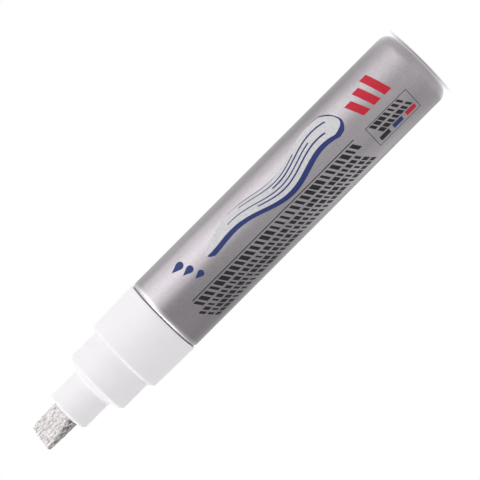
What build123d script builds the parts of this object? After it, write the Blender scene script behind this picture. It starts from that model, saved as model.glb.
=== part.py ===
"""Valve-action paint marker with a broad chisel nib, uncapped and standing on its tail.

Millimetres. +Z runs along the marker's axis from tail to nib, and the origin is the middle of the
tail. Turned pieces are half profiles in the XZ plane, written as (radius, height), revolved about Z.
"""

import math
import os

from build123d import *

# Barrel: one drawn aluminium can, closed at the tail and rolled in at the mouth
BARREL_RADIUS = 10.85
BARREL_LENGTH = 90.85
BARREL_WALL = 0.8
BARREL_FLOOR = 1.2
TAIL_DOME_RADIUS = 14.0
TAIL_DOME_WIDTH = 3.4
TAIL_CORNER_RADIUS = 3.0
FLOOR_CHAMFER = 2.2
LIP_RADIUS = 1.55
LIP_FLAT = 0.15

# Collar: the moulding that plugs the mouth, with a ledge for the valve body. Neck wall and gap share the room
# between the mouth and the valve tube in their parts, and ledge and gap that between the socket and the tube
COLLAR_GAP = 0.1
COLLAR_SKIRT = 0.5
COLLAR_LENGTH = 14.45
COLLAR_OVERHANG = 0.2
COLLAR_DRAFT = 0.33
COLLAR_FRONT_ROUND = 1.1
COLLAR_REAR_ROUND = 0.4
NECK_WALL_PART = 1.3
NECK_GAP_PART = 1.75
FLANGE_THICKNESS = 2.0
LEDGE_THICKNESS = 1.8
LEDGE_WIDTH_PART = 1.59
LEDGE_GAP_PART = 0.6
GASKET_THICKNESS = 1.5

# Valve body: bulkhead clamped on the ledge by the nib holder, seat ridge and valve tube
BULKHEAD_THICKNESS = 1.6
VALVE_BORE_RADIUS = 4.8
VALVE_TUBE_WALL = 1.2
VALVE_TUBE_LENGTH = 11.0
PORT_GAP = 0.3
SEAT_LAND = 0.6
SEAT_RIDGE_WIDTH = 0.6
SEAT_RIDGE_HEIGHT = 0.5

# Nib holder: head, nozzle and the spigot that snaps into the collar
HEAD_STEP = 1.52
HEAD_LENGTH = 9.15
HEAD_ROUND = 1.0
CONE_RISE = 1.25
NOZZLE_WALL = 1.5
NOZZLE_LENGTH = 9.55
NOZZLE_ROOT_FILLET = 1.25
NOZZLE_SLOPE = 0.65
NOZZLE_ROUND = 0.6
NOZZLE_RIM = 1.0
SPIGOT_STEP = 1.06
SPIGOT_LENGTH = 8.7
CHAMBER_WALL = 1.4
CHAMBER_ROOF = 2.65
RIB_COUNT = 6
RIB_WIDTH = 1.2
RIB_HEIGHT = 0.45
RIB_ROOT = 0.3
BEAD_HEIGHT = 0.2
BEAD_WIDTH = 1.0
BEAD_DEPTH = 4.5

# Nib: a round felt rod ground to a chisel on two sides, with its edge cut a little askew
NIB_RADIUS = 3.76
NIB_LENGTH = 25.0
NIB_REACH = 9.4
NIB_EDGE_THICKNESS = 1.3
NIB_BEVEL_ANGLE = 10.7
NIB_SKEW_ANGLE = 4.9
NIB_ROUND = 0.25

# Valve: rod pushed by the nib, washer and poppet closed on the seat ridge by a spring in a cage
PRESS_TRAVEL = 2.5
ROD_RADIUS = 1.5
ROD_SHOULDER_STEP = 0.6
ROD_SHOULDER_HEIGHT = 0.6
ROD_SPIGOT_RADIUS = 1.0
ROD_SPIGOT_LENGTH = 3.6
PUSH_HEAD_SPAN = 6.4
PUSH_ARM_WIDTH = 1.8
PUSH_HEAD_HEIGHT = 1.2
WASHER_THICKNESS = 1.0
FLOW_GAP = 0.8
POPPET_THICKNESS = 1.2
SPRING_BOSS_GAP = 0.6
SPRING_BOSS_LENGTH = 3.0
TAIL_PIN_RADIUS = 1.1
TAIL_PIN_EXIT = 2.3
SPRING_MEAN_RADIUS = 2.6
SPRING_WIRE_RADIUS = 0.25
SPRING_LENGTH = 15.4
SPRING_OPEN_TURNS = 5
SPRING_END_TURNS = 1
SPRING_END_PITCH = 0.98
WIRE_SIDES = 5
WIRE_SAMPLES = 24
CAGE_HEADROOM = 1.35
CAGE_INSERT_WALL = 1.0
CAGE_FLANGE_THICKNESS = 1.2
CAGE_FLOOR = 1.2
WINDOW_WIDTH = 3.2
WINDOW_MARGIN = 0.6

# Mixing ball, loose in the paint
BALL_RADIUS = 4.0

# Clearances
SEAT_CLEARANCE = 0.05
NECK_CLEARANCE = 0.1
NIB_CLEARANCE = 0.12
PIN_CLEARANCE = 0.1
BALL_CLEARANCE = 0.05
CUT_MARGIN = 1.0

# Radii that follow
tail_foot_radius = BARREL_RADIUS - TAIL_CORNER_RADIUS - TAIL_DOME_WIDTH
bore_radius = BARREL_RADIUS - BARREL_WALL
lip_centre = BARREL_RADIUS - LIP_RADIUS
mouth_radius = lip_centre - LIP_FLAT
neck_radius = mouth_radius - NECK_CLEARANCE
collar_rear_radius = BARREL_RADIUS + COLLAR_OVERHANG
skirt_reach = COLLAR_SKIRT - COLLAR_GAP
skirt_radius = lip_centre + math.sqrt(LIP_RADIUS**2 - (LIP_RADIUS - skirt_reach) ** 2) + COLLAR_GAP
collar_front_radius = collar_rear_radius - COLLAR_DRAFT
head_radius = collar_front_radius - HEAD_STEP
spigot_radius = head_radius - SPIGOT_STEP
socket_radius = spigot_radius + SEAT_CLEARANCE
chamber_radius = spigot_radius - CHAMBER_WALL
rim_radius = NIB_RADIUS + NIB_CLEARANCE
guide_radius = rim_radius + RIB_HEIGHT
nozzle_radius = guide_radius + NOZZLE_WALL
rod_shoulder_radius = ROD_RADIUS + ROD_SHOULDER_STEP
port_radius = rod_shoulder_radius + PORT_GAP
seat_ridge_radius = port_radius + SEAT_LAND
tube_radius = VALVE_BORE_RADIUS + VALVE_TUBE_WALL
neck_gap = (neck_radius - tube_radius) * NECK_GAP_PART / (NECK_GAP_PART + NECK_WALL_PART)
neck_bore_radius = tube_radius + neck_gap
ledge_gap = (socket_radius - tube_radius) * LEDGE_GAP_PART / (LEDGE_GAP_PART + LEDGE_WIDTH_PART)
ledge_radius = tube_radius + ledge_gap
poppet_radius = VALVE_BORE_RADIUS - FLOW_GAP
spring_boss_radius = SPRING_MEAN_RADIUS - SPRING_WIRE_RADIUS - SPRING_BOSS_GAP
cage_radius = VALVE_BORE_RADIUS - SEAT_CLEARANCE
cage_bore_radius = cage_radius - CAGE_INSERT_WALL

# Heights that follow, from the tail to the nib
lip_top = BARREL_LENGTH
lip_under = lip_top - BARREL_WALL
recess_top = lip_top + COLLAR_GAP
collar_rear = recess_top - COLLAR_SKIRT
collar_front = collar_rear + COLLAR_LENGTH
head_top = collar_front + HEAD_LENGTH
cone_top = head_top + CONE_RISE
chamber_top = head_top - CHAMBER_ROOF
nozzle_top = cone_top + NOZZLE_LENGTH
nib_top = nozzle_top + NIB_REACH
nib_rear = nib_top - NIB_LENGTH
spigot_end = collar_front - SPIGOT_LENGTH
bulkhead_top = spigot_end - SEAT_CLEARANCE
bulkhead_under = bulkhead_top - BULKHEAD_THICKNESS
ledge_top = bulkhead_under - SEAT_CLEARANCE
ridge_tip = bulkhead_under - SEAT_RIDGE_HEIGHT
tube_end = bulkhead_under - VALVE_TUBE_LENGTH
gasket_top = lip_under - SEAT_CLEARANCE
flange_top = gasket_top - GASKET_THICKNESS
flange_under = flange_top - FLANGE_THICKNESS
push_top = nib_rear - SEAT_CLEARANCE
washer_top = ridge_tip - SEAT_CLEARANCE
poppet_top = washer_top - WASHER_THICKNESS
poppet_under = poppet_top - POPPET_THICKNESS
spring_top = poppet_under - SEAT_CLEARANCE
spring_end = spring_top - SPRING_LENGTH
cage_floor_top = spring_end - SEAT_CLEARANCE
cage_end = cage_floor_top - CAGE_FLOOR
cage_top = poppet_under - PRESS_TRAVEL - CAGE_HEADROOM
cage_bead_height = (cage_top + tube_end) / 2
cage_flange_top = tube_end - SEAT_CLEARANCE
cage_flange_under = cage_flange_top - CAGE_FLANGE_THICKNESS

os.makedirs("parts", exist_ok=True)


def corner(profile, radius, height):
    """The vertex of a half profile that lies nearest to a radius and height."""
    return profile.vertices().sort_by_distance((radius, height, 0))[0]


def bead_points(radius, height, rise):
    """A snap bead's half profile: a low ridge on a wall of the given radius, centred on a height."""
    half = BEAD_WIDTH / 2
    return [
        (radius - CUT_MARGIN, height - half),
        (radius, height - half),
        (radius + rise, height - half / 2),
        (radius + rise, height + half / 2),
        (radius, height + half),
        (radius - CUT_MARGIN, height + half),
    ]


# Barrel: flat foot, shallow dome and corner at the tail, straight wall, lip rolled over the collar
with BuildPart() as barrel:
    with BuildSketch(Plane.XZ):
        with BuildLine():
            dome_sine = TAIL_DOME_WIDTH / (TAIL_DOME_RADIUS - TAIL_CORNER_RADIUS)
            dome_angle = math.degrees(math.asin(dome_sine))
            foot = Line((0, 0), (tail_foot_radius, 0))
            dome = JernArc(foot @ 1, (1, 0), TAIL_DOME_RADIUS, dome_angle)
            turn = JernArc(dome @ 1, dome % 1, TAIL_CORNER_RADIUS, 90 - dome_angle)
            side = Line(turn @ 1, (BARREL_RADIUS, lip_top - LIP_RADIUS))
            lip = JernArc(side @ 1, (0, 1), LIP_RADIUS, 90)
            Polyline(
                lip @ 1,
                (mouth_radius, lip_top),
                (mouth_radius, lip_under),
                (lip_centre, lip_under),
                (bore_radius, lip_top - LIP_RADIUS),
                (bore_radius, BARREL_FLOOR + FLOOR_CHAMFER),
                (bore_radius - FLOOR_CHAMFER, BARREL_FLOOR),
                (0, BARREL_FLOOR),
                (0, 0),
            )
        make_face()
    revolve(axis=Axis.Z)
barrel.part.label = "barrel"
export_step(barrel.part, "parts/barrel.step")

# Collar: grip ring with a skirt over the lip, neck through the mouth, flange under the lip, ledge inside
with BuildPart() as collar:
    with BuildSketch(Plane.XZ) as collar_profile:
        with BuildLine():
            Polyline(
                (socket_radius, collar_front),
                (collar_front_radius, collar_front),
                (collar_rear_radius, collar_rear),
                (skirt_radius, collar_rear),
                (skirt_radius, recess_top),
                (neck_radius, recess_top),
                (neck_radius, flange_top),
                (bore_radius - SEAT_CLEARANCE, flange_top),
                (bore_radius - SEAT_CLEARANCE, flange_under),
                (neck_bore_radius, flange_under),
                (neck_bore_radius, ledge_top - LEDGE_THICKNESS),
                (ledge_radius, ledge_top - LEDGE_THICKNESS),
                (ledge_radius, ledge_top),
                (socket_radius, ledge_top),
                close=True,
            )
        make_face()
        fillet(corner(collar_profile, collar_front_radius, collar_front), COLLAR_FRONT_ROUND)
        fillet(corner(collar_profile, collar_rear_radius, collar_rear), COLLAR_REAR_ROUND)
    revolve(axis=Axis.Z)
    with BuildSketch(Plane.XZ):
        with BuildLine():
            Polyline(*bead_points(socket_radius, collar_front - BEAD_DEPTH, BEAD_HEIGHT), close=True)
        make_face()
    revolve(axis=Axis.Z, mode=Mode.SUBTRACT)
collar.part.label = "collar"
export_step(collar.part, "parts/collar.step")

# Valve body: bulkhead with the port and seat ridge, and the tube the valve works in
with BuildPart() as valve_body:
    with BuildSketch(Plane.XZ):
        with BuildLine():
            Polyline(
                (socket_radius - SEAT_CLEARANCE, bulkhead_top),
                (socket_radius - SEAT_CLEARANCE, bulkhead_under),
                (tube_radius, bulkhead_under),
                (tube_radius, tube_end),
                (VALVE_BORE_RADIUS, tube_end),
                (VALVE_BORE_RADIUS, bulkhead_under),
                (seat_ridge_radius + SEAT_RIDGE_WIDTH / 2, bulkhead_under),
                (seat_ridge_radius + SEAT_RIDGE_WIDTH / 4, ridge_tip),
                (seat_ridge_radius - SEAT_RIDGE_WIDTH / 4, ridge_tip),
                (seat_ridge_radius - SEAT_RIDGE_WIDTH / 2, bulkhead_under),
                (port_radius, bulkhead_under),
                (port_radius, bulkhead_top),
                close=True,
            )
        make_face()
    revolve(axis=Axis.Z)
    with BuildSketch(Plane.XZ):
        with BuildLine():
            Polyline(*bead_points(VALVE_BORE_RADIUS, cage_bead_height, BEAD_HEIGHT), close=True)
        make_face()
    revolve(axis=Axis.Z, mode=Mode.SUBTRACT)
valve_body.part.label = "valve_body"
export_step(valve_body.part, "parts/valve_body.step")

# Gasket: squeezed between the collar's flange and the lip, bevelled on top as the lip's curl is inside
with BuildPart() as collar_gasket:
    with BuildSketch(Plane.XZ):
        with BuildLine():
            Polyline(
                (lip_centre, gasket_top),
                (neck_radius + SEAT_CLEARANCE, gasket_top),
                (neck_radius + SEAT_CLEARANCE, flange_top),
                (bore_radius - SEAT_CLEARANCE, flange_top),
                (bore_radius - SEAT_CLEARANCE, lip_top - LIP_RADIUS),
                close=True,
            )
        make_face()
    revolve(axis=Axis.Z)
collar_gasket.part.label = "collar_gasket"
export_step(collar_gasket.part, "parts/collar_gasket.step")

# Nib holder: spigot in the collar, head, cone and nozzle, with ribs that guide the nib
with BuildPart() as nib_holder:
    with BuildSketch(Plane.XZ) as holder_profile:
        with BuildLine():
            Polyline(
                (rim_radius, nozzle_top),
                (nozzle_radius, nozzle_top - NOZZLE_SLOPE),
                (nozzle_radius, cone_top),
                (head_radius, head_top),
                (head_radius, collar_front),
                (spigot_radius, collar_front),
                (spigot_radius, spigot_end),
                (chamber_radius, spigot_end),
                (chamber_radius, chamber_top),
                (guide_radius, chamber_top),
                (guide_radius, nozzle_top - NOZZLE_RIM),
                (rim_radius, nozzle_top - NOZZLE_RIM),
                close=True,
            )
        make_face()
        fillet(corner(holder_profile, nozzle_radius, nozzle_top - NOZZLE_SLOPE), NOZZLE_ROUND)
        fillet(corner(holder_profile, nozzle_radius, cone_top), NOZZLE_ROOT_FILLET)
        fillet(corner(holder_profile, head_radius, head_top), HEAD_ROUND)
    revolve(axis=Axis.Z)
    with BuildSketch(Plane.XZ):
        with BuildLine():
            bead_rise = BEAD_HEIGHT - SEAT_CLEARANCE
            Polyline(*bead_points(spigot_radius, collar_front - BEAD_DEPTH, bead_rise), close=True)
        make_face()
    revolve(axis=Axis.Z)
    with BuildSketch(Plane.XY.offset(chamber_top)):
        with PolarLocations(rim_radius, RIB_COUNT):
            Rectangle(RIB_HEIGHT + RIB_ROOT, RIB_WIDTH, align=(Align.MIN, Align.CENTER))
    extrude(amount=nozzle_top - NOZZLE_RIM - chamber_top)
nib_holder.part.label = "nib_holder"
export_step(nib_holder.part, "parts/nib_holder.step")

# Nib: the rod, cut by its wedge seen from the side and by its skewed end seen from the front
with BuildPart() as nib:
    with BuildSketch(Plane.XY.offset(nib_rear)):
        Circle(NIB_RADIUS)
    extrude(amount=NIB_LENGTH)
    half_edge = NIB_EDGE_THICKNESS / 2
    half_rod = NIB_RADIUS + CUT_MARGIN
    bevel_run = (half_rod - half_edge) / math.tan(math.radians(NIB_BEVEL_ANGLE))
    wedge_low = nib_top - bevel_run - NIB_LENGTH
    with BuildSketch(Plane.YZ):
        with BuildLine():
            Polyline(
                (-half_edge, nib_top),
                (half_edge, nib_top),
                (half_rod, nib_top - bevel_run),
                (half_rod, wedge_low),
                (-half_rod, wedge_low),
                (-half_rod, nib_top - bevel_run),
                close=True,
            )
        make_face()
    extrude(amount=half_rod, both=True, mode=Mode.INTERSECT)
    skew_drop = 2 * NIB_RADIUS * math.tan(math.radians(NIB_SKEW_ANGLE))
    with BuildSketch(Plane.XZ):
        with BuildLine():
            Polyline(
                (-NIB_RADIUS, nib_top),
                (NIB_RADIUS, nib_top - skew_drop),
                (NIB_RADIUS, nib_rear),
                (-NIB_RADIUS, nib_rear),
                close=True,
            )
        make_face()
    extrude(amount=half_rod, both=True, mode=Mode.INTERSECT)
    fillet(nib.faces().sort_by(Axis.Z)[-1].edges(), NIB_ROUND)
    chamfer(nib.faces().sort_by(Axis.Z)[0].edges(), NIB_ROUND)
nib.part.label = "nib"
export_step(nib.part, "parts/nib.step")

# Valve rod: crossed push head under the nib, rod through the port, spigot pressed into the poppet
with BuildPart() as valve_rod:
    rod_shoulder = washer_top + ROD_SHOULDER_HEIGHT
    with BuildSketch(Plane.XZ):
        with BuildLine():
            Polyline(
                (0, push_top),
                (ROD_RADIUS, push_top),
                (ROD_RADIUS, rod_shoulder),
                (rod_shoulder_radius, rod_shoulder),
                (rod_shoulder_radius, washer_top),
                (ROD_SPIGOT_RADIUS, washer_top),
                (ROD_SPIGOT_RADIUS, washer_top - ROD_SPIGOT_LENGTH),
                (0, washer_top - ROD_SPIGOT_LENGTH),
                close=True,
            )
        make_face()
    revolve(axis=Axis.Z)
    with BuildSketch(Plane.XY.offset(push_top)):
        Rectangle(PUSH_HEAD_SPAN, PUSH_ARM_WIDTH)
        Rectangle(PUSH_ARM_WIDTH, PUSH_HEAD_SPAN)
    extrude(amount=-PUSH_HEAD_HEIGHT)
valve_rod.part.label = "valve_rod"
export_step(valve_rod.part, "parts/valve_rod.step")

# Valve washer: elastomer ring clamped between the rod's shoulder and the poppet
with BuildPart() as valve_washer:
    with BuildSketch(Plane.XY.offset(poppet_top)):
        Circle(poppet_radius)
        Circle(ROD_SPIGOT_RADIUS + SEAT_CLEARANCE, mode=Mode.SUBTRACT)
    extrude(amount=WASHER_THICKNESS)
valve_washer.part.label = "valve_washer"
export_step(valve_washer.part, "parts/valve_washer.step")

# Valve poppet: disc behind the washer, boss inside the spring, tail pin guided by the cage floor
with BuildPart() as valve_poppet:
    boss_end = poppet_under - SPRING_BOSS_LENGTH
    socket_bore = ROD_SPIGOT_RADIUS + SEAT_CLEARANCE
    socket_end = washer_top - ROD_SPIGOT_LENGTH - SEAT_CLEARANCE
    pin_end = cage_end - TAIL_PIN_EXIT
    with BuildSketch(Plane.XZ):
        with BuildLine():
            Polyline(
                (socket_bore, poppet_top),
                (poppet_radius, poppet_top),
                (poppet_radius, poppet_under),
                (spring_boss_radius, poppet_under),
                (spring_boss_radius, boss_end),
                (TAIL_PIN_RADIUS, boss_end - (spring_boss_radius - TAIL_PIN_RADIUS)),
                (TAIL_PIN_RADIUS, pin_end),
                (0, pin_end),
                (0, socket_end),
                (socket_bore, socket_end),
                close=True,
            )
        make_face()
    revolve(axis=Axis.Z)
valve_poppet.part.label = "valve_poppet"
export_step(valve_poppet.part, "parts/valve_poppet.step")


# Valve spring: open turns between one closed-up turn at each end, as one wire on biarcs
def wire_point(turns):
    """The wire's centre after some turns from the spring's lower end."""
    climb = SPRING_LENGTH - 2 * SPRING_WIRE_RADIUS
    open_pitch = (climb - 2 * SPRING_END_TURNS * SPRING_END_PITCH) / SPRING_OPEN_TURNS
    low = min(turns, SPRING_END_TURNS) * SPRING_END_PITCH
    middle = min(max(turns - SPRING_END_TURNS, 0), SPRING_OPEN_TURNS) * open_pitch
    high = max(turns - SPRING_END_TURNS - SPRING_OPEN_TURNS, 0) * SPRING_END_PITCH
    angle = 2 * math.pi * turns
    return Vector(
        SPRING_MEAN_RADIUS * math.cos(angle),
        SPRING_MEAN_RADIUS * math.sin(angle),
        spring_end + SPRING_WIRE_RADIUS + low + middle + high,
    )


def wire_tangent(turns):
    """The wire's direction after some turns, blended where the pitch changes."""
    step = 0.01
    return (wire_point(turns + step) - wire_point(turns - step)).normalized()


def biarc_middle(start, start_tangent, end, end_tangent):
    """The point where two equal-legged arcs meet that leave and arrive along the given tangents."""
    chord = end - start
    both = start_tangent + end_tangent
    square = 2 * (start_tangent.dot(end_tangent) - 1)
    slope = -2 * chord.dot(both)
    root = math.sqrt(slope**2 - 4 * square * chord.dot(chord))
    leg = (-slope - root) / (2 * square)
    return (start + start_tangent * leg + end - end_tangent * leg) / 2


spring_turns = SPRING_OPEN_TURNS + 2 * SPRING_END_TURNS
with BuildPart() as valve_spring:
    with BuildLine():
        for quarter in range(4 * spring_turns):
            start, end = wire_point(quarter / 4), wire_point((quarter + 1) / 4)
            leaves, arrives = wire_tangent(quarter / 4), wire_tangent((quarter + 1) / 4)
            middle = biarc_middle(start, leaves, end, arrives)
            first = TangentArc(start, middle, tangent=leaves)
            TangentArc(middle, end, tangent=first % 1)
    with BuildSketch(Plane(origin=wire_point(0), z_dir=wire_tangent(0))):
        RegularPolygon(SPRING_WIRE_RADIUS, WIRE_SIDES)
    sweep()
valve_spring.part.label = "valve_spring"
export_step(valve_spring.part, "parts/valve_spring.step")

samples = [wire_point(i / WIRE_SAMPLES) for i in range(spring_turns * WIRE_SAMPLES + 1)]
least_gap = min(
    (samples[i] - samples[j]).length - 2 * SPRING_WIRE_RADIUS
    for i in range(len(samples))
    for j in range(i + WIRE_SAMPLES // 2, len(samples))
)
print(f"valve_spring least gap to itself {least_gap:.2f} mm")

# Valve cage: ring snapped into the valve tube, stop flange, four windows, floor under the spring
with BuildPart() as valve_cage:
    with BuildSketch(Plane.XZ):
        with BuildLine():
            Polyline(
                (cage_bore_radius, cage_top),
                (cage_radius, cage_top),
                (cage_radius, cage_flange_top),
                (tube_radius, cage_flange_top),
                (tube_radius, cage_flange_under),
                (cage_radius, cage_flange_under),
                (cage_radius, cage_end),
                (TAIL_PIN_RADIUS + PIN_CLEARANCE, cage_end),
                (TAIL_PIN_RADIUS + PIN_CLEARANCE, cage_floor_top),
                (cage_bore_radius, cage_floor_top),
                close=True,
            )
        make_face()
    revolve(axis=Axis.Z)
    with BuildSketch(Plane.XZ):
        with BuildLine():
            cage_bead = bead_points(cage_radius, cage_bead_height, BEAD_HEIGHT - SEAT_CLEARANCE)
            Polyline(*cage_bead[1:5], close=True)
        make_face()
    revolve(axis=Axis.Z)
    window_low = cage_floor_top + WINDOW_MARGIN
    window_high = cage_flange_under - WINDOW_MARGIN
    for plane in (Plane.XZ, Plane.YZ):
        with BuildSketch(plane):
            with Locations((0, (window_low + window_high) / 2)):
                Rectangle(WINDOW_WIDTH, window_high - window_low)
        extrude(amount=cage_radius + CUT_MARGIN, both=True, mode=Mode.SUBTRACT)
valve_cage.part.label = "valve_cage"
export_step(valve_cage.part, "parts/valve_cage.step")

# Mixing ball: lies on the barrel's floor and runs up to the valve when the marker is shaken
with BuildPart() as mixing_ball:
    with Locations((0, 0, BARREL_FLOOR + BALL_CLEARANCE + BALL_RADIUS)):
        Sphere(BALL_RADIUS)
mixing_ball.part.label = "mixing_ball"
export_step(mixing_ball.part, "parts/mixing_ball.step")
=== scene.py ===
"""Dresses a packed paint marker: lacquered barrel with its print, white front, felt nib, valve and studio.

The marker stands on its tail with its axis on +Z. Lengths are metres, and each piece's place is in its mesh.
"""

import math
from functools import partial

import bpy
import numpy as np
from mathutils import Matrix, Vector, noise


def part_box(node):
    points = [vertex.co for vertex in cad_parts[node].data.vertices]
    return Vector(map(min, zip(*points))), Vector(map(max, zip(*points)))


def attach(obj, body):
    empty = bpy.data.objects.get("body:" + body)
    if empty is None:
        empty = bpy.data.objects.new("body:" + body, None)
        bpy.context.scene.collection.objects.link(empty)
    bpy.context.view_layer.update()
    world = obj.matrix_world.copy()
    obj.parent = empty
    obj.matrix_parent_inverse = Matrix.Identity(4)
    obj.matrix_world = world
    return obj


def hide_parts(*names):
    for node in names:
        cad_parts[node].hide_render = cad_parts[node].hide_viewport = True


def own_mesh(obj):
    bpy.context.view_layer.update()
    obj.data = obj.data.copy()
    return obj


bl_info = {
    "name": "Paint Marker Looks",
    "version": (1, 0, 0),
    "blender": (4, 5, 0),
    "location": "3D View > Sidebar > Marker",
    "description": "Builds the visible pieces and finishes of a paint marker on its CAD frame, with a studio",
    "category": "Object",
}

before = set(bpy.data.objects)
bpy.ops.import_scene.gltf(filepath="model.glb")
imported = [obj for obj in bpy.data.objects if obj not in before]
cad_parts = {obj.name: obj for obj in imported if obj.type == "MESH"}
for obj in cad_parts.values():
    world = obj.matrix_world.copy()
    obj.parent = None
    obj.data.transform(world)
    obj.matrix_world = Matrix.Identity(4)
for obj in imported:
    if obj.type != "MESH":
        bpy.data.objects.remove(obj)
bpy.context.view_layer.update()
MM = 0.001
BARREL_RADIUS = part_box("barrel")[1].x
BARREL_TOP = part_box("barrel")[1].z
COLLAR_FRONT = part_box("collar")[1].z
NOZZLE_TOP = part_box("nib_holder")[1].z
SPIGOT_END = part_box("nib_holder")[0].z
HEAD_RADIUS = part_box("nib_holder")[1].x
NIB_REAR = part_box("nib")[0].z
NIB_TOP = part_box("nib")[1].z
NIB_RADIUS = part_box("nib")[1].x
# The side of the barrel that the print and the camera share, as an azimuth about +Z
FACING = math.radians(-30)


# Settings


def length(name, description, millimetres):
    """A length, given in millimetres and kept in metres."""
    return bpy.props.FloatProperty(
        name=name, description=description, default=millimetres * MM, min=0.0, precision=5, unit="LENGTH"
    )


def lengths(name, description, *millimetres):
    """Some lengths that go together, given in millimetres and kept in metres."""
    metres = [value * MM for value in millimetres]
    return bpy.props.FloatVectorProperty(
        name=name,
        description=description,
        default=metres,
        size=len(metres),
        min=0.0,
        precision=5,
        unit="LENGTH",
    )


def angle(name, description, degrees):
    """An angle, given in degrees and kept in radians."""
    return bpy.props.FloatProperty(
        name=name, description=description, default=math.radians(degrees), subtype="ANGLE"
    )


def number(name, description, default, unit="NONE"):
    """A number that isn't negative."""
    return bpy.props.FloatProperty(name=name, description=description, default=default, min=0.0, unit=unit)


def power(name, description, watts):
    """A lamp's power."""
    return number(name, description, watts, "POWER")


def count(name, description, default):
    """A whole number from 1 up."""
    return bpy.props.IntProperty(name=name, description=description, default=default, min=1)


def colour(name, description, *default):
    """A linear colour."""
    return bpy.props.FloatVectorProperty(
        name=name, description=description, default=default, size=3, min=0.0, max=1.0, subtype="COLOR"
    )


class MarkerSizes(bpy.types.PropertyGroup):
    """Rounds and details of the visible pieces."""

    barrel_wall: length("Barrel wall", "Thickness of the drawn can", 0.8)
    barrel_floor: length("Barrel floor", "Thickness of the can's closed tail", 1.2)
    floor_chamfer: length("Floor chamfer", "Bevel inside the can where wall and floor meet", 2.2)
    tail_dome_radius: length("Tail dome", "Radius of the shallow arc round the tail's flat foot", 14.0)
    tail_dome_width: length("Tail dome width", "Run of that arc, less the corner", 3.4)
    tail_corner_radius: length("Tail corner", "Radius of the tail's corner", 3.0)
    lip_radius: length("Lip radius", "Outer radius of the lip rolled in at the mouth", 1.55)
    lip_flat: length("Lip flat", "Flat run of the lip inside its curl", 0.15)
    # The painted highlight of brighter metal on the lip starts this far below its top.
    lip_highlight_reach: length("Thin lacquer", "How far below the lip's top the lacquer starts to thin", 2.2)
    collar_gap: length("Collar gap", "Gap between lip and collar", 0.1)
    collar_skirt: length("Collar skirt", "How far the collar's rear edge reaches down over the lip", 0.5)
    collar_overhang: length("Collar overhang", "How far its rear edge stands out past the barrel's side", 0.2)
    collar_draft: length("Collar draft", "How much the collar narrows to its front", 0.33)
    collar_front_round: length("Collar front round", "Round of the collar's front edge", 1.1)
    collar_rear_round: length("Collar rear round", "Round of the collar's rear edge", 0.4)
    neck_clearance: length("Neck clearance", "Gap between the collar's neck and the barrel's mouth", 0.1)
    neck_wall: length("Neck wall", "Wall of the collar's neck", 1.3)
    ledge_thickness: length("Ledge thickness", "Ledge in the collar that carries the valve body", 1.8)
    ledge_gap: length("Ledge gap", "Gap between that ledge and the valve tube", 0.6)
    bulkhead: length("Bulkhead", "Thickness of the valve body's bulkhead on the ledge", 1.6)
    seat_clearance: length("Seat clearance", "Gap between pieces that sit on each other", 0.05)
    spigot_step: length("Spigot step", "How much the nib holder's spigot is smaller than its head", 1.06)
    chamber_wall: length("Chamber wall", "Wall of the chamber in the spigot", 1.4)
    chamber_roof: length("Chamber roof", "Chamber's end below the head's front", 2.65)
    nib_clearance: length("Nib clearance", "Gap between nib and nozzle", 0.12)
    nozzle_rim: length("Nozzle rim", "Length of the close rim at the nozzle's end", 1.0)
    rib_height: length("Rib height", "Ribs that guide the nib in the nozzle", 0.45)
    rib_width: length("Rib width", "Width of one rib", 1.2)
    rib_root: length("Rib root", "How far a rib runs into the nozzle's wall", 0.3)
    rib_count: count("Rib count", "Ribs round the nib", 6)
    head_length: length("Head length", "Straight side of the nib holder's head", 9.15)
    head_round: length("Head round", "Round of the head's front edge", 1.0)
    cone_rise: length("Cone rise", "Height of the cone between head and nozzle", 1.25)
    nozzle_radius: length("Nozzle radius", "Outer radius of the nozzle", 5.83)
    nozzle_slope: length("Nozzle slope", "Fall of the nozzle's front face", 0.65)
    nozzle_round: length("Nozzle round", "Round of the nozzle's front edge", 0.6)
    root_fillet: length("Root fillet", "Fillet between cone and nozzle", 1.25)
    nib_edge: length("Nib edge", "Thickness of the nib's writing edge", 1.3)
    nib_round: length("Nib round", "Wear of the writing edge's corners", 0.25)
    nib_bevel: angle("Nib bevel", "Angle of each chisel flat to the axis", 10.7)
    nib_skew: angle("Nib skew", "Angle of the writing edge across the axis", 4.9)
    fuzz: length("Felt fuzz", "How far the felt's surface wanders from its ground shape", 0.05)
    fibre_length: length("Fibre length", "Length of a loose fibre on the nib", 0.5)
    fibre_radius: length("Fibre radius", "Radius of a loose fibre on the nib", 0.02)
    fibre_density: number("Fibre density", "Loose fibres on a square metre of felt", 3.0e6)
    press_travel: length("Press travel", "How far the nib can be pressed in", 2.5)
    cage_floor: length("Cage floor", "Thickness of the cage's floor under the spring", 1.2)
    spring_length: length("Spring length", "Spring from end to end with the valve shut", 15.4)
    spring_radius: length("Spring radius", "Middle of the wire to the axis", 2.6)
    spring_wire: length("Spring wire", "Radius of the spring's wire", 0.25)
    spring_end_pitch: length("Spring end pitch", "Rise of one closed-up turn", 0.98)
    spring_end_turns: count("Spring end turns", "Closed-up turns at each end", 1)
    spring_open_turns: count("Spring open turns", "Open turns between them", 5)


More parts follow.
